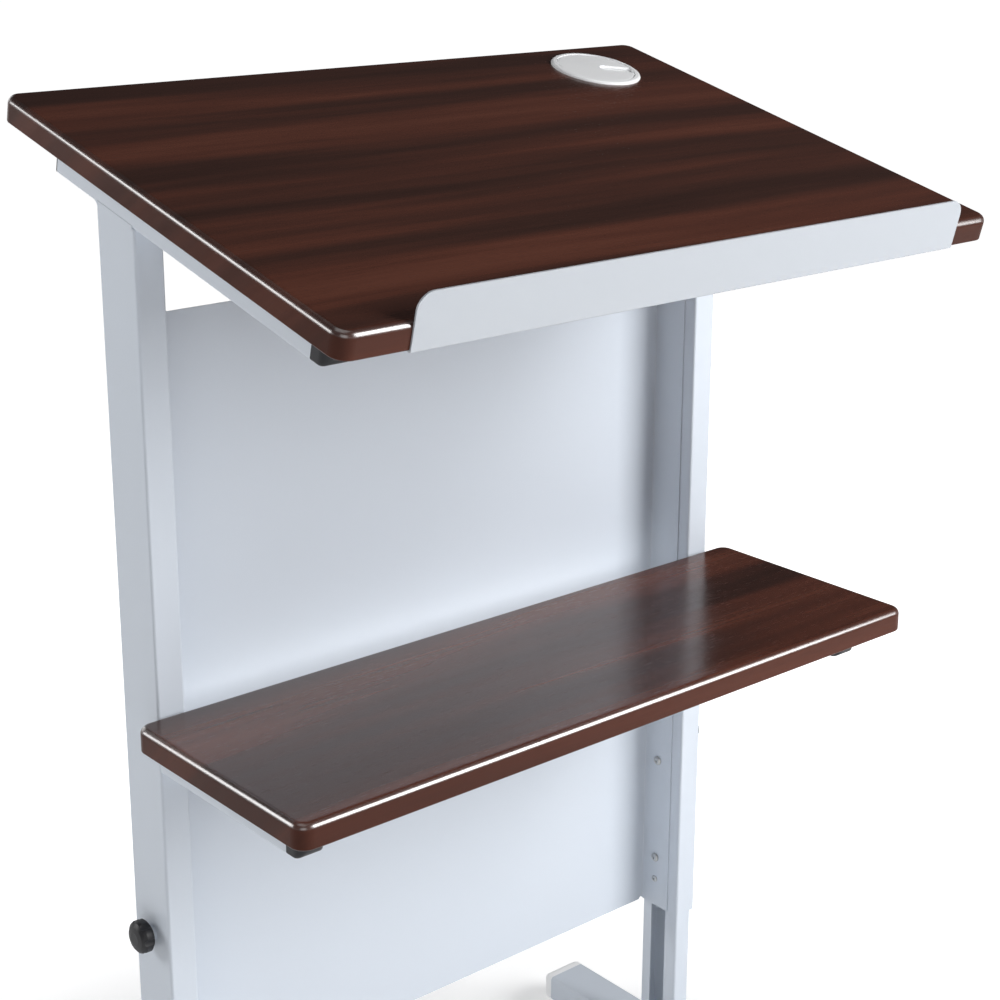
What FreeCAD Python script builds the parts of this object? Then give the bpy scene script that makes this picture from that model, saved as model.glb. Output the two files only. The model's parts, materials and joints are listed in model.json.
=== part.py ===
import FreeCAD, Part
import math
import os

# A height-adjustable presentation lectern, in millimetres.
# +X is the speaker's right, +Y faces the audience and +Z is up. The origin is on the floor, under the middle
# of the lectern's outer box. Two slotted legs stand on feet; tubular uprights slide on the legs and carry
# the tilted top, the shelf and a sheet-steel modesty panel.

V = FreeCAD.Vector
X_AXIS = V(1, 0, 0)
Y_AXIS = V(0, 1, 0)
Z_AXIS = V(0, 0, 1)

# ---- Driving dimensions -------------------------------------------------------------------------

# boards
BOARD_WIDTH = 702.0
BOARD_THICKNESS = 22.0
TOP_DEPTH = 478.0
TOP_TILT = 14.2
TOP_FRONT_Y = -251.0
TOP_FRONT_Z = 1006.0
SHELF_DEPTH = 238.0
SHELF_BACK_Y = 53.0
SHELF_TOP_Z = 620.0
CORNER_RADIUS = 13.0
UPPER_ARRIS = 6.0
LOWER_ARRIS = 1.5

# uprights, rails and shelf arms, all of thin steel tube
TUBE_WIDTH = 26.5
TUBE_DEPTH = 57.0
TUBE_WALL = 1.5
TUBE_RADIUS = 2.5
UPRIGHT_OUTER_X = 327.0
UPRIGHT_FRONT_Y = 55.0
UPRIGHT_BOTTOM_Z = 202.0
RAIL_HEIGHT = 30.0
RAIL_FRONT_S = 62.0
RAIL_BACK_S = 425.0
RAIL_SCREW_PLACES = (112.0, 395.0)
ARM_FRONT_Y = -130.0
ARM_SCREW_PLACES = (-90.0, 18.0)

# moulded caps on the ends of rails and arms
CAP_NOSE = 18.0
CAP_NOSE_RADIUS = 9.0
FLAT_CAP_NOSE = 2.0
FLAT_CAP_NOSE_RADIUS = 0.8
CAP_PLUG = 12.0
CAP_PLUG_RADIUS = 1.0

# welds
WELD_BEAD = 2.2
WELD_INSET = 4.0
BACK_FILLET = 14.0
SIDE_WELD_PROUD = 0.4

# wood screws for the boards and the document stop, and the holes that they need
WOOD_SCREW = dict(shank_r=2.2, length=16.0, head_r=4.5, head_h=2.6)
WOOD_SCREW_HOLE_R = 2.5
KEY_ACCESS_R = 5.5

# modesty panel
SHEET = 1.2
PANEL_FACE_Y = 107.5
PANEL_FLANGE_FRONT_Y = 69.0
PANEL_TOP_Z = 948.0
PANEL_BOLT_HEIGHTS = (260.0, 375.5, 905.0)
FLANGE_BOLT_Y = 88.5
PANEL_BOLT = dict(shank_r=2.4, length=12.0, head_r=4.8, head_h=2.8)
PANEL_BOLT_HOLE_R = 2.7
RIVET_NUT_R = 3.5
RIVET_NUT_LENGTH = 9.0
RIVET_NUT_LIP = 1.2
RIVET_NUT_LIP_THICKNESS = 0.9
RELIEF_R = 2.5
RELIEF_INSET = 3.0

# document stop on the front edge of the top
STOP_SHEET = 1.5
STOP_LEFT_X = -291.0
STOP_RIGHT_X = 301.0
STOP_RISE = 22.0
STOP_FLANGE = 30.0
STOP_CORNER = 14.0
STOP_FLANGE_CORNER = 8.0
STOP_SCREW_S = 16.5
STOP_SCREW_OFFSETS = (-240.0, -80.0, 80.0, 240.0)

# cable grommet
GROMMET_X = 248.0
GROMMET_S = 413.0
GROMMET_FLANGE_R = 44.4
GROMMET_HOLE_R = 40.0
LEDGE_INNER_R = 33.0
COLLAR_WALL = 3.5
WEB_THICKNESS = 1.6
CAP_R = 38.6
CAP_SEAT_N = 0.4
CAP_THICKNESS = 2.2
CAP_SLOT_WIDTH = 15.0
CAP_SLOT_START = 4.0
CAP_SLOT_ANGLE = -25.0

# telescoping legs
LEG_GAP = 1.1
LEG_WALL = 1.8
LEG_TOP_Z = 580.0
LEG_SLOT_FRONT_Y = 74.5
LEG_SLOT_BACK_Y = 96.0
GUIDE_LENGTH = 40.0
GUIDE_RADIUS = 1.3
GUIDE_SCREW_Z = 234.0
GUIDE_SCREW = dict(shank_r=2.0, length=5.0, head_r=3.6, head_h=2.0)
GUIDE_SCREW_HOLE_R = 2.3
SLIDER_HEAD = 12.0
SLIDER_PLUG = 25.0

# height-lock knobs
KNOB_Z = 405.0
KNOB_RADIUS = 15.0
KNOB_THICKNESS = 14.0
BOSS_RADIUS = 7.0
BOSS_PROUD = 3.0
STUD_RADIUS = 4.0
STUD_IN_KNOB = 10.0
WASHER_RADIUS = 9.0
WASHER_THICKNESS = 1.2
WASHER_GAP = 0.1
CLAMP_PAD_GAP = 0.25
CLAMP_PAD_LENGTH = 2.5
KNOB_LOBES = 6
KNOB_SCALLOP_R = 4.2
KNOB_SCALLOP_AT = 17.4

# base
PAD_HEIGHT = 12.0
FOOT_HEIGHT = 30.0
FOOT_WIDTH = 50.0
FOOT_WALL = 2.0
FOOT_FRONT_Y = -212.0
FOOT_RADIUS = 4.0
FOOT_CAP = 14.0
FOOT_CAP_NOSE_RADIUS = 8.0
FOOT_CAP_PLUG = 15.0
PAD_RADIUS = 17.0
PAD_INSET = 36.0
PAD_SCREW = dict(shank_r=2.4, length=15.0, head_r=4.6, head_h=2.6)
PAD_SCREW_SEAT_Z = 5.0
PAD_BORE_R = 6.0
PLATE = 4.0
PLATE_INSET = 4.0
PLATE_CORNER = 5.0
PLATE_BOLT_OVERHANG = 9.0
BASE_BOLT = dict(shank_r=3.0, length=14.0, head_r=5.2, head_h=3.0)
BRACKET = 3.0
BRACKET_REACH = 34.0
BRACKET_CORNER = 4.0
BRACKET_BOLT_INSET = 6.5
CROSSBAR_DEPTH = 40.0
CROSSBAR_HEIGHT = 24.0
CROSSBAR_RADIUS = 3.0

# clearances
SLIDING_GAP = 0.1
RUNNING_GAP = 0.05
PRESS_GAP = 0.02
# how far a cutting tool runs past the face that it opens
PAST = 1.0

# ---- Sizes that follow --------------------------------------------------------------------------

HALF_BOARD = BOARD_WIDTH / 2
INNER_X = UPRIGHT_OUTER_X - TUBE_WIDTH
TUBE_X = UPRIGHT_OUTER_X - TUBE_WIDTH / 2
UPRIGHT_BACK_Y = UPRIGHT_FRONT_Y + TUBE_DEPTH
UPRIGHT_Y = UPRIGHT_FRONT_Y + TUBE_DEPTH / 2
SHELF_UNDER_Z = SHELF_TOP_Z - BOARD_THICKNESS
FOOT_TOP_Z = PAD_HEIGHT + FOOT_HEIGHT
TUBE_SPAN_X = (INNER_X, UPRIGHT_OUTER_X)
UPRIGHT_SPAN_Y = (UPRIGHT_FRONT_Y, UPRIGHT_BACK_Y)
LEG_INSET = TUBE_WALL + LEG_GAP
LEG_SPAN_X = (TUBE_SPAN_X[0] + LEG_INSET, TUBE_SPAN_X[1] - LEG_INSET)
LEG_SPAN_Y = (UPRIGHT_FRONT_Y + LEG_INSET, UPRIGHT_BACK_Y - LEG_INSET)
LEG_BOTTOM_Z = FOOT_TOP_Z + PLATE
FOOT_SPAN_X = (TUBE_X - FOOT_WIDTH / 2, TUBE_X + FOOT_WIDTH / 2)
FOOT_SPAN_Z = (PAD_HEIGHT, FOOT_TOP_Z)
RAIL_UNDER_N = -BOARD_THICKNESS - RAIL_HEIGHT
TILT = math.radians(TOP_TILT)
# The lip of the document stop is the foremost point; the feet reach as far back, so the origin is central.
FRONTMOST_Y = TOP_FRONT_Y - STOP_SHEET * math.cos(TILT) - STOP_RISE * math.sin(TILT)
FOOT_BACK_Y = -FRONTMOST_Y

nodes = {}


# ---- Shape helpers ------------------------------------------------------------------------------


def box(x, y, z):
    """A block from three (low, high) spans."""
    return Part.makeBox(x[1] - x[0], y[1] - y[0], z[1] - z[0], V(x[0], y[0], z[0]))


def edges_along(shape, axis):
    """The straight edges of a shape that run along an axis."""
    straight = [edge for edge in shape.Edges if isinstance(edge.Curve, Part.Line)]
    return [edge for edge in straight if abs(edge.Curve.Direction.dot(axis)) > 0.999]


def edges_in_plane(shape, axis, place):
    """The edges of a shape that lie in the plane at a place along an axis."""
    found = []
    for edge in shape.Edges:
        points = edge.discretize(5)
        if all(abs(point.dot(axis) - place) < 1e-4 for point in points):
            found.append(edge)
    return found


def bar(x, y, z, axis, radius):
    """A solid bar along an axis with rounded long edges."""
    block = box(x, y, z)
    return block.makeFillet(radius, edges_along(block, axis))


def inset(span, amount):
    return (span[0] + amount, span[1] - amount)


def tube(x, y, z, axis, wall, radius):
    """A rectangular tube along an axis, open at both ends."""
    bore_spans = [inset(span, wall) for span in (x, y, z)]
    run = (X_AXIS, Y_AXIS, Z_AXIS).index(axis)
    bore_spans[run] = inset((x, y, z)[run], -PAST)
    least_radius = 0.3
    bore = bar(*bore_spans, axis, radius - wall + least_radius)
    return bar(x, y, z, axis, radius).cut(bore)


def rod(start, axis, radius, length):
    return Part.makeCylinder(radius, length, start, axis)


def revolve(profile, start, axis):
    """A solid of revolution about a line, from (radius, distance along the line) points."""
    across = V(0, 0, 1) if abs(axis.z) < 0.5 else V(1, 0, 0)
    points = [start + across * r + axis * t for r, t in profile]
    face = Part.Face(Part.makePolygon(points + points[:1]))
    return face.revolve(start, axis, 360)


def mirrored(shape):
    """The same piece on the speaker's left."""
    return shape.mirror(V(0, 0, 0), X_AXIS)


def both_sides(shapes):
    return list(shapes) + [mirrored(shape) for shape in shapes]


def tilted(shape):
    """Moves a piece drawn flat (x, s up the slope from the front edge, n out of the top) onto the slope."""
    placed = shape.copy()
    placed.rotate(V(0, 0, 0), X_AXIS, TOP_TILT)
    placed.translate(V(0, TOP_FRONT_Y, TOP_FRONT_Z))
    return placed


def put(name, shapes):
    """Records a sub-part made of one solid or of several separate ones."""
    shapes = shapes if isinstance(shapes, list) else [shapes]
    solids = [solid for shape in shapes for solid in shape.Solids]
    nodes[name] = solids[0] if len(solids) == 1 else Part.makeCompound(solids)


def pan_screw(head_seat, axis, shank_r, length, head_r, head_h):
    """A screw whose head sits on a face at head_seat and whose shank runs along axis."""
    rounded = min(1.0, head_h * 0.4)
    profile = [
        (0, -head_h),
        (head_r - rounded * 2, -head_h),
        (head_r - rounded, -head_h + rounded * 0.5),
        (head_r, -head_h + rounded * 1.5),
        (head_r, 0),
        (shank_r, 0),
        (shank_r, length - shank_r * 0.6),
        (shank_r * 0.4, length),
        (0, length),
    ]
    screw = revolve(profile, head_seat, axis)
    socket = hexagon(head_seat - axis * head_h, axis, head_r * 0.5, head_h * 0.55)
    return screw.cut(socket)


def hexagon(start, axis, across_flats, depth):
    """A hexagonal prism, for a key socket or a nut."""
    corner = across_flats / math.sqrt(3)
    u = V(0, 0, 1) if abs(axis.z) < 0.5 else V(1, 0, 0)
    w = axis.cross(u)
    points = []
    for step in range(7):
        turn = math.radians(60 * step)
        points.append(start + u * (corner * math.cos(turn)) + w * (corner * math.sin(turn)))
    return Part.Face(Part.makePolygon(points)).extrude(axis * depth)


def board(depth):
    """A board lying flat with its front edge on y = 0 and its upper face on z = 0."""
    slab = bar(
        (-HALF_BOARD, HALF_BOARD), (0, depth), (-BOARD_THICKNESS, 0), Z_AXIS, CORNER_RADIUS
    )
    slab = slab.makeFillet(UPPER_ARRIS, edges_in_plane(slab, Z_AXIS, 0))
    return slab.makeFillet(LOWER_ARRIS, edges_in_plane(slab, Z_AXIS, -BOARD_THICKNESS))


def domed_plug(x, z, face_y, outward, dome, nose_radius):
    """A moulded end cap on a tube that runs along Y: a rounded nose outside and a plug inside."""
    nose_span = sorted((face_y, face_y + outward * dome))
    nose = bar(x, nose_span, z, Y_AXIS, TUBE_RADIUS)
    nose = nose.makeFillet(nose_radius, edges_in_plane(nose, Y_AXIS, face_y + outward * dome))
    plug_span = sorted((face_y, face_y - outward * CAP_PLUG))
    clearance = TUBE_WALL + SLIDING_GAP
    plug = bar(inset(x, clearance), plug_span, inset(z, clearance), Y_AXIS, CAP_PLUG_RADIUS)
    return nose.fuse(plug).removeSplitter()


# ---- Frame that slides: uprights, rails, arms ------------------------------------------------------


def screws_up(places, seat_z):
    """Wood screws driven up through a tube's upper wall, one side of the lectern."""
    return [pan_screw(V(TUBE_X, place, seat_z), Z_AXIS, **WOOD_SCREW) for place in places]


def screw_holes(places, seat_z, under_z):
    """The shank holes in a tube's upper wall and the key's access holes in its lower wall."""
    through = TUBE_WALL + 2 * PAST
    shanks = [rod(V(TUBE_X, place, seat_z - PAST), Z_AXIS, WOOD_SCREW_HOLE_R, through) for place in places]
    access = [rod(V(TUBE_X, place, under_z - PAST), Z_AXIS, KEY_ACCESS_R, through) for place in places]
    return shanks + access


def top_rail():
    rail_z = (RAIL_UNDER_N, -BOARD_THICKNESS)
    rail = tube(TUBE_SPAN_X, (RAIL_FRONT_S, RAIL_BACK_S), rail_z, Y_AXIS, TUBE_WALL, TUBE_RADIUS)
    seat = -BOARD_THICKNESS - TUBE_WALL
    rail = rail.cut(screw_holes(RAIL_SCREW_PLACES, seat, RAIL_UNDER_N))
    front_cap = domed_plug(TUBE_SPAN_X, rail_z, RAIL_FRONT_S, -1, CAP_NOSE, CAP_NOSE_RADIUS)
    back_cap = domed_plug(TUBE_SPAN_X, rail_z, RAIL_BACK_S, 1, FLAT_CAP_NOSE, FLAT_CAP_NOSE_RADIUS)
    screws = screws_up(RAIL_SCREW_PLACES, seat)
    return tilted(rail), tilted(front_cap), tilted(back_cap), screws


def shelf_arm():
    arm_z = (SHELF_UNDER_Z - RAIL_HEIGHT, SHELF_UNDER_Z)
    arm = tube(TUBE_SPAN_X, (ARM_FRONT_Y, UPRIGHT_FRONT_Y), arm_z, Y_AXIS, TUBE_WALL, TUBE_RADIUS)
    seat = SHELF_UNDER_Z - TUBE_WALL
    arm = arm.cut(screw_holes(ARM_SCREW_PLACES, seat, arm_z[0]))
    cap = domed_plug(TUBE_SPAN_X, arm_z, ARM_FRONT_Y, -1, CAP_NOSE, CAP_NOSE_RADIUS)
    return arm, cap, screws_up(ARM_SCREW_PLACES, seat)


def flange_hole(start_x, z, radius, thickness):
    """A hole along X through a flange or a tube wall that starts at start_x."""
    return rod(V(start_x - PAST, FLANGE_BOLT_Y, z), X_AXIS, radius, thickness + 2 * PAST)


def upright():
    """A tube cut off at the slope under its rail, with holes for panel bolts, guide screw and lock boss."""
    long_enough = (UPRIGHT_BOTTOM_Z, TOP_FRONT_Z + TOP_DEPTH)
    post = tube(TUBE_SPAN_X, UPRIGHT_SPAN_Y, long_enough, Z_AXIS, TUBE_WALL, TUBE_RADIUS)
    above_the_slope = box((0, HALF_BOARD), (-TOP_DEPTH, 2 * TOP_DEPTH), (RAIL_UNDER_N, 2 * TOP_DEPTH))
    post = post.cut(tilted(above_the_slope))
    holes = [flange_hole(INNER_X, z, RIVET_NUT_R, TUBE_WALL) for z in PANEL_BOLT_HEIGHTS]
    holes.append(flange_hole(INNER_X, GUIDE_SCREW_Z, GUIDE_SCREW_HOLE_R, TUBE_WALL))
    boss_start = V(UPRIGHT_OUTER_X - TUBE_WALL - PAST, UPRIGHT_Y, KNOB_Z)
    holes.append(rod(boss_start, X_AXIS, BOSS_RADIUS + PRESS_GAP, TUBE_WALL + 2 * PAST))
    return post.cut(holes)


def rounded_bead(start, hosts):
    """A weld bead along X in an inside corner: a round bead with the welded pieces taken out of it."""
    length = TUBE_WIDTH - 2 * WELD_INSET
    bead = rod(start, X_AXIS, WELD_BEAD, length)
    ends = [Part.makeSphere(WELD_BEAD, start), Part.makeSphere(WELD_BEAD, start + X_AXIS * length)]
    return bead.fuse(ends).removeSplitter().cut(hosts)


def back_fillet(corner, slope, hosts):
    """A dressed weld that rounds the inside corner between the upright's back face and the rail."""
    half_corner = (math.pi / 2 + TILT) / 2
    reach = BACK_FILLET / math.tan(half_corner)
    bisector = (slope - Z_AXIS).normalize()
    centre = corner + bisector * (BACK_FILLET / math.sin(half_corner))
    points = [corner, corner - Z_AXIS * reach, centre, corner + slope * reach, corner]
    wedge = Part.Face(Part.makePolygon(points)).extrude(X_AXIS * (TUBE_WIDTH - 2 * TUBE_RADIUS))
    hollow = rod(centre - X_AXIS, X_AXIS, BACK_FILLET, TUBE_WIDTH)
    return wedge.cut([hollow] + hosts)


def side_weld(outer_face_x, inward, hosts):
    """The weld along the slope that fills the groove over the rail's rounded lower edge, a little proud."""
    x = sorted((outer_face_x + inward * TUBE_RADIUS, outer_face_x - inward * SIDE_WELD_PROUD))
    s = [(y - TOP_FRONT_Y + RAIL_UNDER_N * math.sin(TILT)) / math.cos(TILT) for y in UPRIGHT_SPAN_Y]
    n = (RAIL_UNDER_N - TUBE_RADIUS / 2, RAIL_UNDER_N + TUBE_RADIUS)
    bead = bar(x, inset(s, TUBE_RADIUS), n, Y_AXIS, SIDE_WELD_PROUD * 0.9)
    return tilted(bead).cut(hosts)


def frame_welds(post, rail, arm):
    slope = V(0, math.cos(TILT), math.sin(TILT))
    hosts = [post, rail, arm]

    def under_rail(x, y):
        """The point on the plane of the rail's underside at a place on the floor plan."""
        foot = tilted(Part.Vertex(x, 0, RAIL_UNDER_N)).Point
        return foot + slope * ((y - foot.y) / slope.y)

    welds = [
        back_fillet(under_rail(INNER_X + TUBE_RADIUS, UPRIGHT_BACK_Y), slope, hosts),
        rounded_bead(under_rail(INNER_X + WELD_INSET, UPRIGHT_FRONT_Y), hosts),
        rounded_bead(V(INNER_X + WELD_INSET, UPRIGHT_FRONT_Y, SHELF_UNDER_Z - RAIL_HEIGHT), hosts),
        side_weld(UPRIGHT_OUTER_X, -1, hosts),
        side_weld(INNER_X, 1, hosts),
    ]
    return [solid for weld in welds for solid in weld.Solids]


def build_sliding_frame():
    post = upright()
    rail, front_cap, back_cap, rail_screws = top_rail()
    arm, arm_cap, arm_screws = shelf_arm()
    for side, place in (("right", lambda shape: shape), ("left", mirrored)):
        put(side + "_upright", place(post))
        put(side + "_top_rail", place(rail))
        put(side + "_shelf_arm", place(arm))
        put(side + "_rail_front_cap", place(front_cap))
        put(side + "_rail_back_cap", place(back_cap))
        put(side + "_shelf_arm_cap", place(arm_cap))
    put("frame_welds", both_sides(frame_welds(post, rail, arm)))

    top = board(TOP_DEPTH)
    flat_top_screws = both_sides(rail_screws)
    hole_start = V(GROMMET_X, GROMMET_S, -BOARD_THICKNESS - PAST)
    grommet_hole = rod(hole_start, Z_AXIS, GROMMET_HOLE_R, BOARD_THICKNESS + 2 * PAST)
    top = top.cut(flat_top_screws + stop_screws() + [grommet_hole])
    put("top_board", tilted(top))
    put("top_board_screws", [tilted(screw) for screw in flat_top_screws])

    shelf = board(SHELF_DEPTH)
    shelf.translate(V(0, SHELF_BACK_Y - SHELF_DEPTH, SHELF_TOP_Z))
    shelf_screws = both_sides(arm_screws)
    put("shelf_board", shelf.cut(shelf_screws))
    put("shelf_board_screws", shelf_screws)


# ---- Modesty panel -----------------------------------------------------------------------------------


def rivet_nut(z):
    """A rivet nut in the upright's inner wall, with its upset lip behind the wall."""
    start = V(INNER_X, FLANGE_BOLT_Y, z)
    lip_start = start + X_AXIS * TUBE_WALL
    lip = rod(lip_start, X_AXIS, RIVET_NUT_R + RIVET_NUT_LIP, RIVET_NUT_LIP_THICKNESS)
    nut = rod(start, X_AXIS, RIVET_NUT_R - PRESS_GAP, RIVET_NUT_LENGTH).fuse(lip).removeSplitter()
    bore_r = PANEL_BOLT["shank_r"] + PRESS_GAP
    return nut.cut(rod(start - X_AXIS * PAST, X_AXIS, bore_r, RIVET_NUT_LENGTH + 2 * PAST))


def build_panel():
    """A sheet folded back along both sides, with flanges bolted to the uprights' inner faces."""
    seat_x = INNER_X - SHEET
    depth = (PANEL_FLANGE_FRONT_Y, PANEL_FACE_Y + SHEET)
    outer = box((-INNER_X, INNER_X), depth, (UPRIGHT_BOTTOM_Z, PANEL_TOP_Z))
    back_folds = [edge for edge in edges_along(outer, Z_AXIS) if edge.CenterOfMass.y > PANEL_FACE_Y]
    outer = outer.makeFillet(2 * SHEET, back_folds)
    tray_depth = (PANEL_FLANGE_FRONT_Y - PAST, PANEL_FACE_Y)
    tray = box((-seat_x, seat_x), tray_depth, (UPRIGHT_BOTTOM_Z - PAST, PANEL_TOP_Z + PAST))
    tray_folds = [edge for edge in edges_along(tray, Z_AXIS) if edge.CenterOfMass.y > UPRIGHT_Y]
    panel = outer.cut(tray.makeFillet(SHEET, tray_folds))
    holes = [flange_hole(seat_x, z, PANEL_BOLT_HOLE_R, SHEET) for z in PANEL_BOLT_HEIGHTS]
    holes.append(flange_hole(seat_x, GUIDE_SCREW_Z, GUIDE_SCREW_HOLE_R, SHEET))
    # a small round relief where each fold meets the lower edge
    relief_start = V(INNER_X - RELIEF_INSET, PANEL_FACE_Y - 2 * RELIEF_R, UPRIGHT_BOTTOM_Z)
    holes.append(rod(relief_start, Y_AXIS, RELIEF_R, 4 * RELIEF_R))
    bolts = [pan_screw(V(seat_x, FLANGE_BOLT_Y, z), X_AXIS, **PANEL_BOLT) for z in PANEL_BOLT_HEIGHTS]
    put("modesty_panel", panel.cut(both_sides(holes)))
    put("panel_bolts", both_sides(bolts))
    put("panel_rivet_nuts", both_sides([rivet_nut(z) for z in PANEL_BOLT_HEIGHTS]))


# ---- Document stop -----------------------------------------------------------------------------------


def stop_screw_seats():
    seat_n = -BOARD_THICKNESS - STOP_SHEET
    middle = (STOP_LEFT_X + STOP_RIGHT_X) / 2
    return [V(middle + offset, STOP_SCREW_S, seat_n) for offset in STOP_SCREW_OFFSETS]


def stop_screws():
    return [pan_screw(seat, Z_AXIS, **WOOD_SCREW) for seat in stop_screw_seats()]


def build_document_stop():
    """An L of sheet steel: a lip in front of the top's front edge and a flange screwed under it."""
    under = -BOARD_THICKNESS - STOP_SHEET
    span = (STOP_LEFT_X, STOP_RIGHT_X)
    lip = box(span, (-STOP_SHEET, 0), (under, STOP_RISE))
    upper_corners = [edge for edge in edges_along(lip, Y_AXIS) if edge.CenterOfMass.z > 0]
    lip = lip.makeFillet(STOP_CORNER, upper_corners)
    flange = box(span, (-STOP_SHEET, STOP_FLANGE), (under, -BOARD_THICKNESS))
    flange_corners = [edge for edge in edges_along(flange, Z_AXIS) if edge.CenterOfMass.y > 0]
    flange = flange.makeFillet(STOP_FLANGE_CORNER, flange_corners)
    stop = lip.fuse(flange).removeSplitter()
    outer_fold = [edge for edge in edges_in_plane(stop, Z_AXIS, under) if edge.CenterOfMass.y < 0]
    stop = stop.makeFillet(STOP_SHEET * 0.9, outer_fold)
    through = STOP_SHEET + 2 * PAST
    holes = [rod(seat - Z_AXIS * PAST, Z_AXIS, WOOD_SCREW_HOLE_R, through) for seat in stop_screw_seats()]
    put("document_stop", tilted(stop.cut(holes)))
    put("document_stop_screws", [tilted(screw) for screw in stop_screws()])


# ---- Cable grommet -----------------------------------------------------------------------------------


def build_grommet():
    """A collar in the top with a web over half its mouth, and a cap whose cable slot turns off the web."""
    centre = V(GROMMET_X, GROMMET_S, 0)
    sleeve_r = GROMMET_HOLE_R - SLIDING_GAP
    collar_low = -BOARD_THICKNESS + 3
    seat = CAP_SEAT_N - SLIDING_GAP
    collar_profile = [
        (LEDGE_INNER_R + COLLAR_WALL, collar_low),
        (sleeve_r, collar_low),
        (sleeve_r, 0),
        (GROMMET_FLANGE_R, 0),
        (GROMMET_FLANGE_R, 0.8),
        (GROMMET_FLANGE_R - 0.7, 1.9),
        (GROMMET_FLANGE_R - 2.2, 2.7),
        (CAP_R + 0.4, 2.9),
        (CAP_R + 0.2, seat),
        (LEDGE_INNER_R, seat),
        (LEDGE_INNER_R, -WEB_THICKNESS),
        (LEDGE_INNER_R + COLLAR_WALL, -2 * WEB_THICKNESS),
    ]
    collar = revolve(collar_profile, centre, Z_AXIS)
    web_disc = rod(centre - Z_AXIS * WEB_THICKNESS, Z_AXIS, LEDGE_INNER_R + COLLAR_WALL / 2, WEB_THICKNESS)
    web_span = (GROMMET_X - CAP_R, GROMMET_X + CAP_R)
    web_half = box(web_span, (GROMMET_S - CAP_R, GROMMET_S + 2), (-WEB_THICKNESS - PAST, PAST))
    put("grommet_collar", tilted(collar.fuse(web_disc.common(web_half)).removeSplitter()))

    top_n = CAP_SEAT_N + CAP_THICKNESS
    rim_r = CAP_R - 2 * SLIDING_GAP
    disc_profile = [
        (0, CAP_SEAT_N),
        (rim_r, CAP_SEAT_N),
        (rim_r, top_n - 0.9),
        (rim_r - 0.6, top_n - 0.2),
        (rim_r - 1.8, top_n),
        (0, top_n + 0.5),
    ]
    disc = revolve(disc_profile, centre, Z_AXIS)
    half_slot = CAP_SLOT_WIDTH / 2
    through = (-BOARD_THICKNESS, BOARD_THICKNESS)
    slot = box((0, 2 * CAP_R), (-half_slot, half_slot), through)
    slot = slot.fuse(rod(V(0, 0, through[0]), Z_AXIS, half_slot, through[1] - through[0]))
    slot.translate(X_AXIS * (half_slot + CAP_SLOT_START))
    slot.rotate(V(0, 0, 0), Z_AXIS, CAP_SLOT_ANGLE)
    slot.translate(centre)
    put("grommet_cap", tilted(disc.cut(slot)))


# ---- Telescoping legs and their guides ---------------------------------------------------------------


def inner_leg():
    leg = tube(LEG_SPAN_X, LEG_SPAN_Y, (LEG_BOTTOM_Z, LEG_TOP_Z), Z_AXIS, LEG_WALL, TUBE_RADIUS)
    slot_x = (LEG_SPAN_X[0] - PAST, LEG_SPAN_X[0] + LEG_WALL + PAST)
    slot_z = inset((LEG_BOTTOM_Z, LEG_TOP_Z), -PAST)
    return leg.cut(box(slot_x, (LEG_SLOT_FRONT_Y, LEG_SLOT_BACK_Y), slot_z))


def build_legs():
    bore_x = inset(TUBE_SPAN_X, TUBE_WALL)
    bore_y = inset(UPRIGHT_SPAN_Y, TUBE_WALL)

    guide_bottom = UPRIGHT_BOTTOM_Z + 1
    guide_z = (guide_bottom, guide_bottom + GUIDE_LENGTH)
    guide = bar(inset(bore_x, PRESS_GAP), inset(bore_y, PRESS_GAP), guide_z, Z_AXIS, GUIDE_RADIUS)
    leg_path_x = inset(LEG_SPAN_X, -SLIDING_GAP)
    leg_path_y = inset(LEG_SPAN_Y, -SLIDING_GAP)
    guide = guide.cut(bar(leg_path_x, leg_path_y, inset(guide_z, -PAST), Z_AXIS, TUBE_RADIUS * 0.8))
    screw_seat = V(INNER_X - SHEET, FLANGE_BOLT_Y, GUIDE_SCREW_Z)
    guide_screw = pan_screw(screw_seat, X_AXIS, **GUIDE_SCREW)
    screw_bore = rod(screw_seat, X_AXIS, GUIDE_SCREW["shank_r"] + RUNNING_GAP, GUIDE_SCREW["length"] + PAST)
    guide = guide.cut(screw_bore)

    head_z = (LEG_TOP_Z, LEG_TOP_Z + SLIDER_HEAD)
    plug_z = (LEG_TOP_Z - SLIDER_PLUG, LEG_TOP_Z)
    inside = LEG_WALL + SLIDING_GAP
    head = bar(inset(bore_x, SLIDING_GAP), inset(bore_y, SLIDING_GAP), head_z, Z_AXIS, GUIDE_RADIUS)
    plug = bar(inset(LEG_SPAN_X, inside), inset(LEG_SPAN_Y, inside), plug_z, Z_AXIS, CAP_PLUG_RADIUS)
    slider = head.fuse(plug).removeSplitter()

    leg = inner_leg()
    for side, place in (("right", lambda shape: shape), ("left", mirrored)):
        put(side + "_inner_leg", place(leg))
        put(side + "_guide_sleeve", place(guide))
        put(side + "_leg_top_slider", place(slider))
    put("guide_sleeve_screws", both_sides([guide_screw]))


# ---- Height-lock knobs -------------------------------------------------------------------------------


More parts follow.
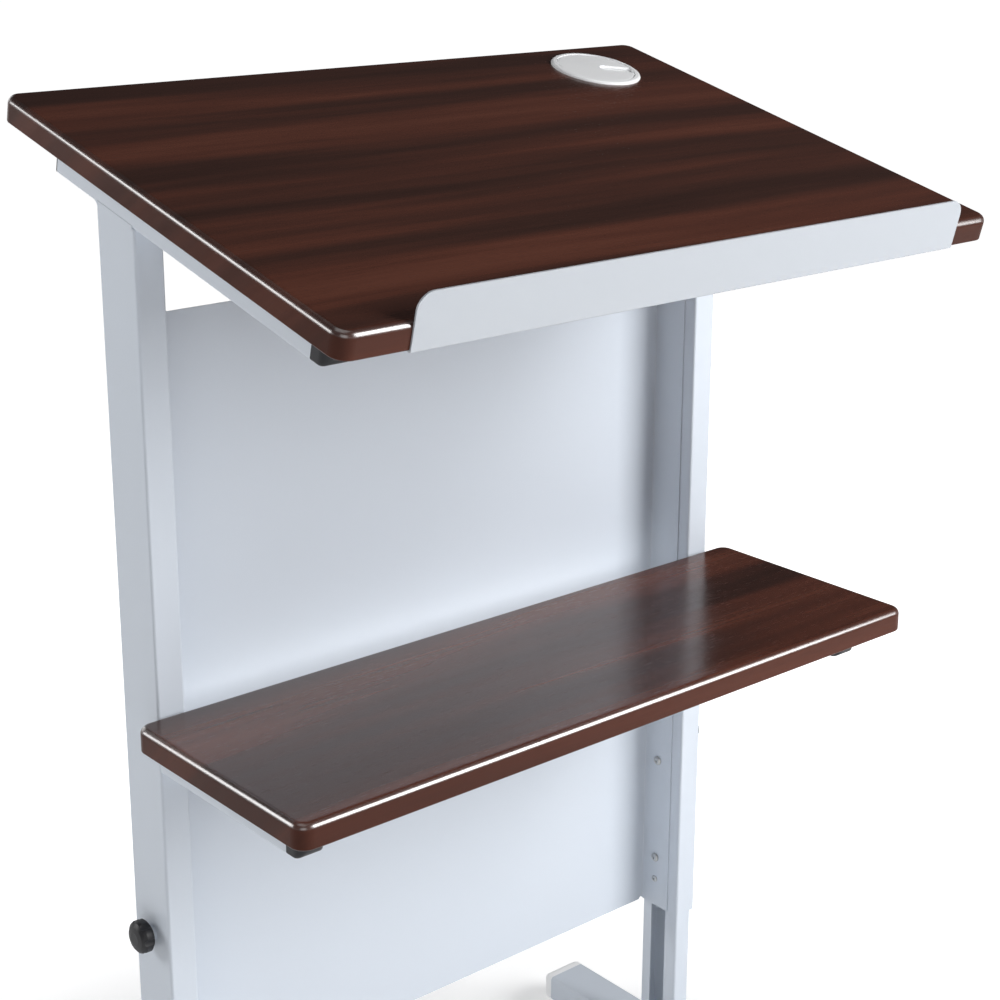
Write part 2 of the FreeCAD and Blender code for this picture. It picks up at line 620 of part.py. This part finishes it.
def knob_head(start):
    """A lobed, domed grip that turns about X."""
    blank = [
        (0, 0),
        (7.0, 0),
        (7.0, 1.0),
        (KNOB_RADIUS - 2.0, 1.0),
        (KNOB_RADIUS, 3.0),
        (KNOB_RADIUS, 8.5),
        (KNOB_RADIUS - 1.2, 11.0),
        (KNOB_RADIUS - 4.0, 13.0),
        (KNOB_RADIUS - 9.0, KNOB_THICKNESS),
        (0, KNOB_THICKNESS),
    ]
    grip = revolve(blank, start, X_AXIS)
    scallops = []
    for step in range(KNOB_LOBES):
        turn = 2 * math.pi * (step + 0.5) / KNOB_LOBES
        place = start + V(-PAST, KNOB_SCALLOP_AT * math.sin(turn), KNOB_SCALLOP_AT * math.cos(turn))
        scallops.append(rod(place, X_AXIS, KNOB_SCALLOP_R, KNOB_THICKNESS + 2 * PAST))
    return grip.cut(scallops)


def build_locks():
    def coaxial(start_x, radius, length):
        """A rod on the knob's own line."""
        return rod(V(start_x, UPRIGHT_Y, KNOB_Z), X_AXIS, radius, length)

    wall_inside_x = UPRIGHT_OUTER_X - TUBE_WALL
    boss_length = TUBE_WALL + BOSS_PROUD
    boss = coaxial(wall_inside_x, BOSS_RADIUS, boss_length)
    boss = boss.cut(coaxial(wall_inside_x - PAST, STUD_RADIUS + RUNNING_GAP, boss_length + 2 * PAST))

    pad_x = UPRIGHT_OUTER_X - LEG_INSET + CLAMP_PAD_GAP
    pad = coaxial(pad_x, STUD_RADIUS - RUNNING_GAP, CLAMP_PAD_LENGTH)
    pad = pad.makeFillet(STUD_RADIUS / 10, edges_in_plane(pad, X_AXIS, pad_x))

    washer_x = UPRIGHT_OUTER_X + BOSS_PROUD + WASHER_GAP
    washer = coaxial(washer_x, WASHER_RADIUS, WASHER_THICKNESS)
    washer = washer.cut(coaxial(washer_x - PAST, STUD_RADIUS + PRESS_GAP, WASHER_THICKNESS + 2 * PAST))

    head_x = washer_x + WASHER_THICKNESS
    stud_x = pad_x + CLAMP_PAD_LENGTH
    stud = coaxial(stud_x, STUD_RADIUS, head_x + STUD_IN_KNOB - stud_x)
    head = knob_head(V(head_x, UPRIGHT_Y, KNOB_Z)).cut(stud)
    for side, place in (("right", lambda shape: shape), ("left", mirrored)):
        put(side + "_lock_boss", place(boss))
        put(side + "_clamp_pad", place(pad))
        put(side + "_knob_stud", place(stud))
        put(side + "_knob_washer", place(washer))
        put(side + "_knob", place(head))


# ---- Base --------------------------------------------------------------------------------------------


def foot_cap(face_y, outward):
    nose_span = sorted((face_y, face_y + outward * FOOT_CAP))
    nose = bar(FOOT_SPAN_X, nose_span, FOOT_SPAN_Z, Y_AXIS, FOOT_RADIUS)
    nose = nose.makeFillet(FOOT_CAP_NOSE_RADIUS, edges_in_plane(nose, Y_AXIS, face_y + outward * FOOT_CAP))
    plug_span = sorted((face_y, face_y - outward * FOOT_CAP_PLUG))
    clearance = FOOT_WALL + SLIDING_GAP
    plug_x = inset(FOOT_SPAN_X, clearance)
    plug_z = inset(FOOT_SPAN_Z, clearance)
    plug = bar(plug_x, plug_span, plug_z, Y_AXIS, FOOT_RADIUS - FOOT_WALL)
    return nose.fuse(plug).removeSplitter()


def build_base():
    tube_y = (FOOT_FRONT_Y + FOOT_CAP, FOOT_BACK_Y - FOOT_CAP)
    foot = tube(FOOT_SPAN_X, tube_y, FOOT_SPAN_Z, Y_AXIS, FOOT_WALL, FOOT_RADIUS)

    pads = []
    pad_screws = []
    for y in (FOOT_FRONT_Y + PAD_INSET, FOOT_BACK_Y - PAD_INSET):
        profile = [
            (0, 0),
            (PAD_RADIUS - 2, 0),
            (PAD_RADIUS, 2),
            (PAD_RADIUS - 2, PAD_HEIGHT),
            (0, PAD_HEIGHT),
        ]
        pad = revolve(profile, V(TUBE_X, y, 0), Z_AXIS)
        pad = pad.cut(rod(V(TUBE_X, y, -PAST), Z_AXIS, PAD_BORE_R, PAD_SCREW_SEAT_Z + PAST))
        screw = pan_screw(V(TUBE_X, y, PAD_SCREW_SEAT_Z), Z_AXIS, **PAD_SCREW)
        pads.append(pad.cut(screw))
        pad_screws.append(screw)

    plate_y = (UPRIGHT_FRONT_Y - 2 * PLATE_BOLT_OVERHANG, UPRIGHT_BACK_Y + 2 * PLATE_BOLT_OVERHANG)
    plate_x = inset(FOOT_SPAN_X, PLATE_INSET)
    plate = bar(plate_x, plate_y, (FOOT_TOP_Z, LEG_BOTTOM_Z), Z_AXIS, PLATE_CORNER)
    bolt_y = inset(plate_y, PLATE_BOLT_OVERHANG)
    plate_bolts = [pan_screw(V(TUBE_X, y, LEG_BOTTOM_Z), -Z_AXIS, **BASE_BOLT) for y in bolt_y]
    plate = plate.cut(plate_bolts)

    bracket_x = (FOOT_SPAN_X[0] - BRACKET, FOOT_SPAN_X[0])
    bracket_y = (UPRIGHT_Y - BRACKET_REACH, UPRIGHT_Y + BRACKET_REACH)
    bracket_z = inset(FOOT_SPAN_Z, 1)
    bracket = bar(bracket_x, bracket_y, bracket_z, X_AXIS, BRACKET_CORNER)
    middle_z = PAD_HEIGHT + FOOT_HEIGHT / 2
    bracket_bolts = [
        pan_screw(V(bracket_x[0], y, middle_z), X_AXIS, **BASE_BOLT)
        for y in inset(bracket_y, BRACKET_BOLT_INSET)
    ]
    bracket = bracket.cut(bracket_bolts)
    bar_y = (UPRIGHT_Y - CROSSBAR_DEPTH / 2, UPRIGHT_Y + CROSSBAR_DEPTH / 2)
    bar_z = (middle_z - CROSSBAR_HEIGHT / 2, middle_z + CROSSBAR_HEIGHT / 2)
    crossbar = tube((-bracket_x[0], bracket_x[0]), bar_y, bar_z, X_AXIS, FOOT_WALL, CROSSBAR_RADIUS)
    foot = foot.cut(pad_screws + plate_bolts + bracket_bolts)

    for side, place in (("right", lambda shape: shape), ("left", mirrored)):
        put(side + "_foot", place(foot))
        put(side + "_foot_caps", [place(foot_cap(tube_y[0], -1)), place(foot_cap(tube_y[1], 1))])
        put(side + "_leg_plate", place(plate))
        put(side + "_crossbar_bracket", place(bracket))
    put("crossbar", crossbar)
    put("foot_pads", both_sides(pads))
    put("foot_pad_screws", both_sides(pad_screws))
    put("leg_plate_bolts", both_sides(plate_bolts))
    put("crossbar_bolts", both_sides(bracket_bolts))


# ---- Build and write ---------------------------------------------------------------------------------


def main():
    build_sliding_frame()
    build_panel()
    build_document_stop()
    build_grommet()
    build_legs()
    build_locks()
    build_base()
    os.makedirs("parts", exist_ok=True)
    for name, shape in nodes.items():
        shape.exportStep("parts/" + name + ".step")
    whole = Part.makeCompound(list(nodes.values())).BoundBox
    print(len(nodes), "nodes, box", whole)


main()
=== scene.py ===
import json
import math

import bmesh
import bpy
from mathutils import Matrix, Vector


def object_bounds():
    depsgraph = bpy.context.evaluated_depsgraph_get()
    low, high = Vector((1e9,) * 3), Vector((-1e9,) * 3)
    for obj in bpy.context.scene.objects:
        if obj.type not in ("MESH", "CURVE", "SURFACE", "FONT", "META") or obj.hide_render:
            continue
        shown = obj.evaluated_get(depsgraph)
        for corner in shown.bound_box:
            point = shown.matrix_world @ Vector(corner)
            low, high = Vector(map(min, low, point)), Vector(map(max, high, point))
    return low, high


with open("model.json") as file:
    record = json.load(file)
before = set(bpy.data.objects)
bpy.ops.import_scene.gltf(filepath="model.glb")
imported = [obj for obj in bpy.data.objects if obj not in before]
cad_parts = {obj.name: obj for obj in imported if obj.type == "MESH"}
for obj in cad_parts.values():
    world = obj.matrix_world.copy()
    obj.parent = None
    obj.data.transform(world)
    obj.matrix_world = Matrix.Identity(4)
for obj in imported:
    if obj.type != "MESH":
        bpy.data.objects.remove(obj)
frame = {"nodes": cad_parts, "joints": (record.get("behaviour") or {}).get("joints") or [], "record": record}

CAD_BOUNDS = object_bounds()


# ---- Shader nodes written as arithmetic ------------------------------------------------------------


class Value:
    """A number or vector carried by a node's output. Arithmetic on it adds Math nodes."""

    def __init__(self, finish, socket):
        self.finish = finish
        self.socket = socket

    def __add__(self, other):
        return self.finish.sum_of("ADD", self, other)

    __radd__ = __add__

    def __sub__(self, other):
        return self.finish.sum_of("SUBTRACT", self, other)

    def __rsub__(self, other):
        return self.finish.sum_of("SUBTRACT", other, self)

    def __mul__(self, other):
        return self.finish.sum_of("MULTIPLY", self, other)

    __rmul__ = __mul__


class Finish:
    """A material under construction: one Principled shader and the nodes that feed it."""

    def __init__(self, name, **constants):
        self.material = bpy.data.materials.new(name)
        self.material.use_nodes = True
        self.tree = self.material.node_tree
        self.tree.nodes.clear()
        self.shader = self.tree.nodes.new("ShaderNodeBsdfPrincipled")
        output = self.tree.nodes.new("ShaderNodeOutputMaterial")
        self.tree.links.new(self.shader.outputs[0], output.inputs[0])
        for constant, amount in constants.items():
            self.shader.inputs[constant.replace("_", " ")].default_value = amount

    def node(self, kind, settings=(), inputs=(), output=0):
        made = self.tree.nodes.new(kind)
        for key, amount in dict(settings).items():
            if key == "stops":
                set_stops(made.color_ramp, amount)
            else:
                setattr(made, key, amount)
        for key, amount in dict(inputs).items():
            self.feed(made.inputs[key], amount)
        return Value(self, made.outputs[output])

    def feed(self, socket, amount):
        if isinstance(amount, Value):
            self.tree.links.new(amount.socket, socket)
        else:
            socket.default_value = amount

    def drive(self, name, amount):
        """Feeds one of the shader's own sockets."""
        self.feed(self.shader.inputs[name], amount)

    def sum_of(self, operation, first, second):
        return self.node("ShaderNodeMath", {"operation": operation}, {0: first, 1: second})

    def place(self):
        """The point on the piece, in the part's own frame at rest, in metres."""
        return self.node("ShaderNodeTexCoord", output=3)

    def facing(self):
        """The direction that the surface faces, in the part's own frame at rest."""
        return self.node("ShaderNodeTexCoord", output=1)

    def along(self, point, direction):
        """How far a point lies along a direction."""
        inputs = {0: point, 1: direction}
        return self.node("ShaderNodeVectorMath", {"operation": "DOT_PRODUCT"}, inputs, output=1)

    def stretched(self, point, scale):
        return self.node("ShaderNodeVectorMath", {"operation": "MULTIPLY"}, {0: point, 1: scale})

    def joined(self, x, y, z):
        return self.node("ShaderNodeCombineXYZ", (), {0: x, 1: y, 2: z})

    def noise(self, point, scale, detail=2.0, rough=0.5, seed=0.0):
        """Soft noise from 0 to 1. A different seed gives a different slice."""
        inputs = {"Vector": point, "W": seed, "Scale": scale, "Detail": detail, "Roughness": rough}
        return self.node("ShaderNodeTexNoise", {"noise_dimensions": "4D"}, inputs)

    def ramp(self, amount, stops):
        return self.node("ShaderNodeValToRGB", {"stops": stops}, {0: amount})

    def between(self, amount, low, high, out_low=0.0, out_high=1.0):
        """Maps low..high onto out_low..out_high, smoothly and with ends held."""
        inputs = {0: amount, 1: low, 2: high, 3: out_low, 4: out_high}
        return self.node("ShaderNodeMapRange", {"interpolation_type": "SMOOTHSTEP"}, inputs)

    def mixed(self, share, first, second):
        return self.node("ShaderNodeMix", {"data_type": "RGBA"}, {0: share, 6: first, 7: second}, output=2)

    def bump(self, height, depth, strength):
        """Feeds a bump of a height from 0 to 1 and a depth in metres into the shader."""
        inputs = {"Height": height, "Distance": depth, "Strength": strength}
        self.drive("Normal", self.node("ShaderNodeBump", (), inputs))


def set_stops(ramp, stops):
    while len(ramp.elements) < len(stops):
        ramp.elements.new(1.0)
    for element, (position, colour) in zip(ramp.elements, stops):
        element.position = position
        element.color = (*colour, 1.0)


def paint(material, names):
    for name in names:
        mesh = frame["nodes"][name].data
        mesh.materials.clear()
        mesh.materials.append(material)


# ---- Finishes -----------------------------------------------------------------------------------------


def walnut_laminate(name, across, up, seed, shine):
    """Dark walnut foil pressed round a board.

    The grain runs along X; across and up are the board's other axes.
    """
    finish = Finish(name, Specular_IOR_Level=shine, IOR=1.5, Coat_IOR=2.2, Coat_Roughness=0.27)
    point = finish.place()
    x = finish.along(point, (1, 0, 0))
    s = finish.along(point, across)
    n = finish.along(point, up)
    # the foil is drawn round the edges, so what runs across the face goes on down them
    unrolled = s + n
    sway = finish.noise(finish.joined(x * 1.3, unrolled * 2.0, 0.0), 1.0, 1.0, seed=seed) - 0.5
    wavy = unrolled + sway * 0.05
    band_point = finish.joined(x * 0.8, wavy * 15.0, 0.0)
    bands = finish.between(finish.noise(band_point, 1.0, 2.0, 0.5, seed=seed + 1), 0.34, 0.66)
    streak_point = finish.joined(x * 2.6, wavy * 60.0, 0.0)
    streaks = finish.between(finish.noise(streak_point, 1.0, 2.0, 0.5, seed=seed + 2), 0.25, 0.75)
    fine_point = finish.joined(x * 16.0, wavy * 620.0, 0.0)
    fine = finish.noise(fine_point, 1.0, 2.0, 0.5, seed=seed + 3)
    tone = bands * 0.56 + streaks * 0.24 + fine * 0.20
    colour = finish.ramp(
        tone,
        (
            (0.15, (0.038, 0.0170, 0.0125)),
            (0.36, (0.055, 0.0225, 0.0160)),
            (0.52, (0.076, 0.0275, 0.0185)),
            (0.68, (0.106, 0.0350, 0.0220)),
            (0.85, (0.136, 0.0460, 0.0285)),
        ),
    )
    pore_point = finish.joined(x * 55.0, wavy * 1900.0, n * 300.0)
    pores = finish.between(finish.noise(pore_point, 1.0, 1.0, seed=seed + 4), 0.62, 0.74)
    colour = finish.mixed(pores * 0.45, colour, (0.012, 0.006, 0.005, 1.0))
    flat = finish.along(finish.facing(), up)
    edge = finish.between(flat * flat, 0.85, 0.15)
    # painted shade: the edge faces, picked out by the way they face, are drawn darker and redder than the
    # board's top face
    colour = finish.mixed(edge * 0.55, colour, (0.062, 0.0170, 0.0095, 1.0))
    finish.drive("Base Color", colour)
    finish.drive("Roughness", 0.18 + streaks * 0.08 + pores * 0.12 + edge * 0.10)
    # the foil is drawn tight and polished where it bends over the upper arris
    arris = finish.between(flat, 0.10, 0.45) * finish.between(flat, 0.985, 0.90)
    finish.drive("Coat Weight", arris)
    skin = finish.noise(point, 420.0, 2.0, seed=seed + 5)
    finish.bump(skin * 0.35 + fine * 0.35 - pores * 0.6, 0.00006, 0.55)
    return finish.material


def powder_coat(name, colour, seed=0.0, rippled=None):
    """Sprayed powder paint: a satin skin with a faint orange peel."""
    finish = Finish(name, Specular_IOR_Level=0.5, IOR=1.5)
    point = finish.place()
    cloud = finish.noise(point, 3.2, 2.0, seed=seed)
    grit = finish.noise(point, 1500.0, 1.0, seed=seed + 1)
    darker = tuple(c * 0.93 for c in colour) + (1.0,)
    tone = finish.mixed(cloud * 0.5 + grit * 0.3, (*colour, 1.0), darker)
    finish.drive("Base Color", tone)
    finish.drive("Roughness", 0.36 + cloud * 0.08 + grit * 0.06)
    peel = finish.noise(point, 520.0, 2.0, 0.45, seed=seed + 2)
    height = peel * 0.8 + grit * 0.2
    if rippled:
        ripple = finish.node(
            "ShaderNodeTexWave",
            {"wave_type": "BANDS", "bands_direction": rippled, "wave_profile": "SIN"},
            {"Vector": point, "Scale": 95.0, "Distortion": 1.5, "Detail": 1.0},
        )
        height = height * 0.2 + ripple
    finish.bump(height, 0.00025 if rippled else 0.00005, 0.6)
    return finish.material


def moulded_plastic(name, colour, gloss, grain, depth):
    """Injection-moulded plastic with the fine texture of its mould."""
    finish = Finish(name, IOR=1.47, Specular_IOR_Level=0.5)
    point = finish.place()
    texture = finish.noise(point, grain, 2.0, 0.6)
    flow = finish.noise(point, 35.0, 2.0, seed=1.0)
    lighter = tuple(c * 1.12 + 0.003 for c in colour) + (1.0,)
    finish.drive("Base Color", finish.mixed(texture * 0.4 + flow * 0.4, (*colour, 1.0), lighter))
    finish.drive("Roughness", gloss + flow * 0.08 + texture * 0.06)
    finish.bump(texture, depth, 0.5)
    return finish.material


def zinc_plate(name):
    """Bright zinc on turned steel, with a faint passivated tint."""
    finish = Finish(name, Specular_IOR_Level=0.5)
    point = finish.place()
    tint = finish.noise(point, 160.0, 2.0)
    turned = finish.noise(finish.stretched(point, (2600.0, 300.0, 300.0)), 1.0, 1.0, seed=2.0)
    colour = finish.mixed(tint, (0.52, 0.54, 0.58, 1.0), (0.66, 0.65, 0.60, 1.0))
    finish.drive("Base Color", colour)
    finish.drive("Metallic", 1.0)
    finish.drive("Roughness", 0.24 + tint * 0.14 + turned * 0.06)
    finish.bump(turned, 0.00002, 0.4)
    return finish.material


def slope_axes():
    """The top's own axes, up the slope and out of its face.

    The grommet cap turns about the second, so its joint gives both.
    """
    turn = next(joint for joint in frame["joints"] if joint["name"] == "grommet_cap_turn")
    out = Vector(turn["axis"]).normalized()
    return Vector((1, 0, 0)).cross(out) * -1, out


def paint_board(node, across, up, seed):
    """One foil over the whole board: glossy above, duller on the edge faces where it is stretched."""
    face = walnut_laminate(node + "_walnut", across, up, seed, 0.5)
    edge = walnut_laminate(node + "_walnut_edge", across, up, seed, 0.12)
    mesh = frame["nodes"][node].data
    mesh.materials.clear()
    mesh.materials.append(face)
    mesh.materials.append(edge)
    for polygon in mesh.polygons:
        polygon.material_index = int(abs(polygon.normal.dot(up)) < 0.25)


def finish_all_nodes():
    slope, out = slope_axes()
    slots = {}
    for subpart in frame["record"]["subparts"]:
        slots.setdefault(subpart["material_slot"], []).append(subpart["node"])
    paint_board("top_board", slope, out, 3.0)
    paint_board("shelf_board", Vector((0, 1, 0)), Vector((0, 0, 1)), 11.0)
    white = (0.675, 0.73, 0.805)
    welds = ["frame_welds"]
    stop = ["document_stop"]
    metal = [name for name in slots["white_powder_coat"] if name not in welds + stop]
    # painted shade: the document stop gets a darker copy of the white powder coat, about seven tenths as
    # bright, where it catches more light
    paint(powder_coat("white_powder_coat_stop_painted_shade", (0.49, 0.52, 0.56), 9.0), stop)
    paint(powder_coat("white_powder_coat", white), metal)
    paint(powder_coat("white_powder_coat_weld", white, 5.0, "X"), welds)
    plastics = (
        ("white_plastic", (0.94, 0.95, 0.96), 0.34, 900.0, 0.00002),
        ("black_plastic", (0.013, 0.013, 0.016), 0.36, 1400.0, 0.00004),
        ("grey_nylon", (0.30, 0.30, 0.315), 0.48, 700.0, 0.00003),
        ("black_rubber", (0.020, 0.020, 0.021), 0.72, 500.0, 0.00006),
    )
    for name, colour, gloss, grain, depth in plastics:
        paint(moulded_plastic(name, colour, gloss, grain, depth), slots[name])
    paint(zinc_plate("zinc_steel"), slots["zinc_steel"])


# ---- Room, light and camera ------------------------------------------------------------------------------


def floor():
    """A wide pale floor under the lectern.

    It shows white at a distance, and gives less light than it shows.
    """
    finish = Finish("studio_floor", Roughness=0.9, Specular_IOR_Level=0.1, Emission_Strength=1.0)
    finish.drive("Base Color", (0.88, 0.88, 0.88, 1.0))
    point = finish.place()
    reach = finish.node("ShaderNodeVectorMath", {"operation": "LENGTH"}, {0: point}, output=1)
    seen = finish.node("ShaderNodeLightPath")
    glow = finish.between(reach, 0.35, 1.1, 0.35, 1.0) * (seen * 0.72 + 0.28)
    finish.drive("Emission Color", finish.mixed(glow, (0.0, 0.0, 0.0, 1.0), (1.0, 1.0, 1.0, 1.0)))
    mesh = bpy.data.meshes.new("studio_floor")
    shape = bmesh.new()
    bmesh.ops.create_grid(shape, x_segments=1, y_segments=1, size=40.0)
    shape.to_mesh(mesh)
    shape.free()
    mesh.materials.append(finish.material)
    piece = bpy.data.objects.new("studio_floor", mesh)
    bpy.context.scene.collection.objects.link(piece)


def sky():
    """White at eye level and below, greyer overhead where the softboxes do the work."""
    world = bpy.data.worlds.new("studio")
    bpy.context.scene.world = world
    world.use_nodes = True
    nodes, links = world.node_tree.nodes, world.node_tree.links
    nodes.clear()
    path = nodes.new("ShaderNodeLightPath")
    strength = nodes.new("ShaderNodeMapRange")
    place = nodes.new("ShaderNodeTexCoord")
    split = nodes.new("ShaderNodeSeparateXYZ")
    shade = nodes.new("ShaderNodeValToRGB")
    light = nodes.new("ShaderNodeBackground")
    output = nodes.new("ShaderNodeOutputWorld")
    set_stops(shade.color_ramp, ((0.02, (1.0, 1.0, 1.0)), (0.14, (0.075, 0.075, 0.08))))
    links.new(place.outputs["Generated"], split.inputs[0])
    links.new(split.outputs["Z"], shade.inputs[0])
    links.new(shade.outputs[0], light.inputs[0])
    links.new(light.outputs[0], output.inputs[0])
    # the sky, too, gives less light than it shows
    strength.inputs["To Min"].default_value = 0.40
    links.new(path.outputs["Is Camera Ray"], strength.inputs["Value"])
    links.new(strength.outputs[0], light.inputs[1])


# direction from the middle of the lectern, side in metres, brightness
SOFTBOXES = {
    "overhead_softbox": ((-0.25, -0.10, 1.0), 2.0, 0.7),
    "key_softbox": ((0.515, -0.73, 0.43), 1.5, 11.0),
    "rim_softbox": ((-0.72, 0.62, 0.32), 1.1, 6.0),
    "fill_softbox": ((-0.80, -0.85, 0.35), 1.6, 1.3),
    "back_softbox": ((-0.10, 1.0, 0.30), 1.6, 1.3),
}
SOFTBOX_DISTANCE = 2.8

EYE_BEARING = 40.42
EYE_DISTANCE = 1.698
EYE_HEIGHT = 1.3106
YAW, PITCH, ROLL = -40.29, -16.68, 0.13
SENSOR_WIDTH = 36.0
LENS_LENGTH = 71.8
SHIFT_X, SHIFT_Y = 0.004, -0.05


def softbox(name, middle, direction, size, radiance):
    """A square area light that faces the middle of the lectern."""
    lamp = bpy.data.lights.new(name, "AREA")
    lamp.size = size
    lamp.energy = radiance * math.pi * size * size
    box = bpy.data.objects.new(name, lamp)
    away = Vector(direction).normalized()
    box.location = middle + away * SOFTBOX_DISTANCE
    box.rotation_euler = away.to_track_quat("Z", "Y").to_euler()
    bpy.context.scene.collection.objects.link(box)


def camera(middle):
    """Stands behind the speaker's left shoulder and looks slightly down."""
    bearing = math.radians(EYE_BEARING)
    eye = middle - EYE_DISTANCE * Vector((math.sin(bearing), math.cos(bearing), 0))
    eye.z = EYE_HEIGHT
    yaw, pitch, roll = (math.radians(angle) for angle in (YAW, PITCH, ROLL))
    ahead = Vector((-math.sin(yaw) * math.cos(pitch), math.cos(yaw) * math.cos(pitch), math.sin(pitch)))
    level = Vector((math.cos(yaw), math.sin(yaw), 0))
    upright = level.cross(ahead)
    right = level * math.cos(roll) + upright * math.sin(roll)
    up = upright * math.cos(roll) - level * math.sin(roll)
    lens = bpy.data.cameras.new("camera")
    lens.sensor_width = SENSOR_WIDTH
    lens.lens = LENS_LENGTH
    lens.shift_x = SHIFT_X
    lens.shift_y = SHIFT_Y
    lens.clip_end = 50.0
    piece = bpy.data.objects.new("camera", lens)
    piece.matrix_world = Matrix.Translation(eye) @ Matrix((right, up, -ahead)).transposed().to_4x4()
    bpy.context.scene.collection.objects.link(piece)
    bpy.context.scene.camera = piece


def studio():
    low, high = CAD_BOUNDS
    middle = (low + high) / 2
    floor()
    sky()
    for name, (direction, size, radiance) in SOFTBOXES.items():
        softbox(name, middle, direction, size, radiance)
    camera(middle)
    bpy.context.scene.view_settings.view_transform = "Standard"


finish_all_nodes()
studio()
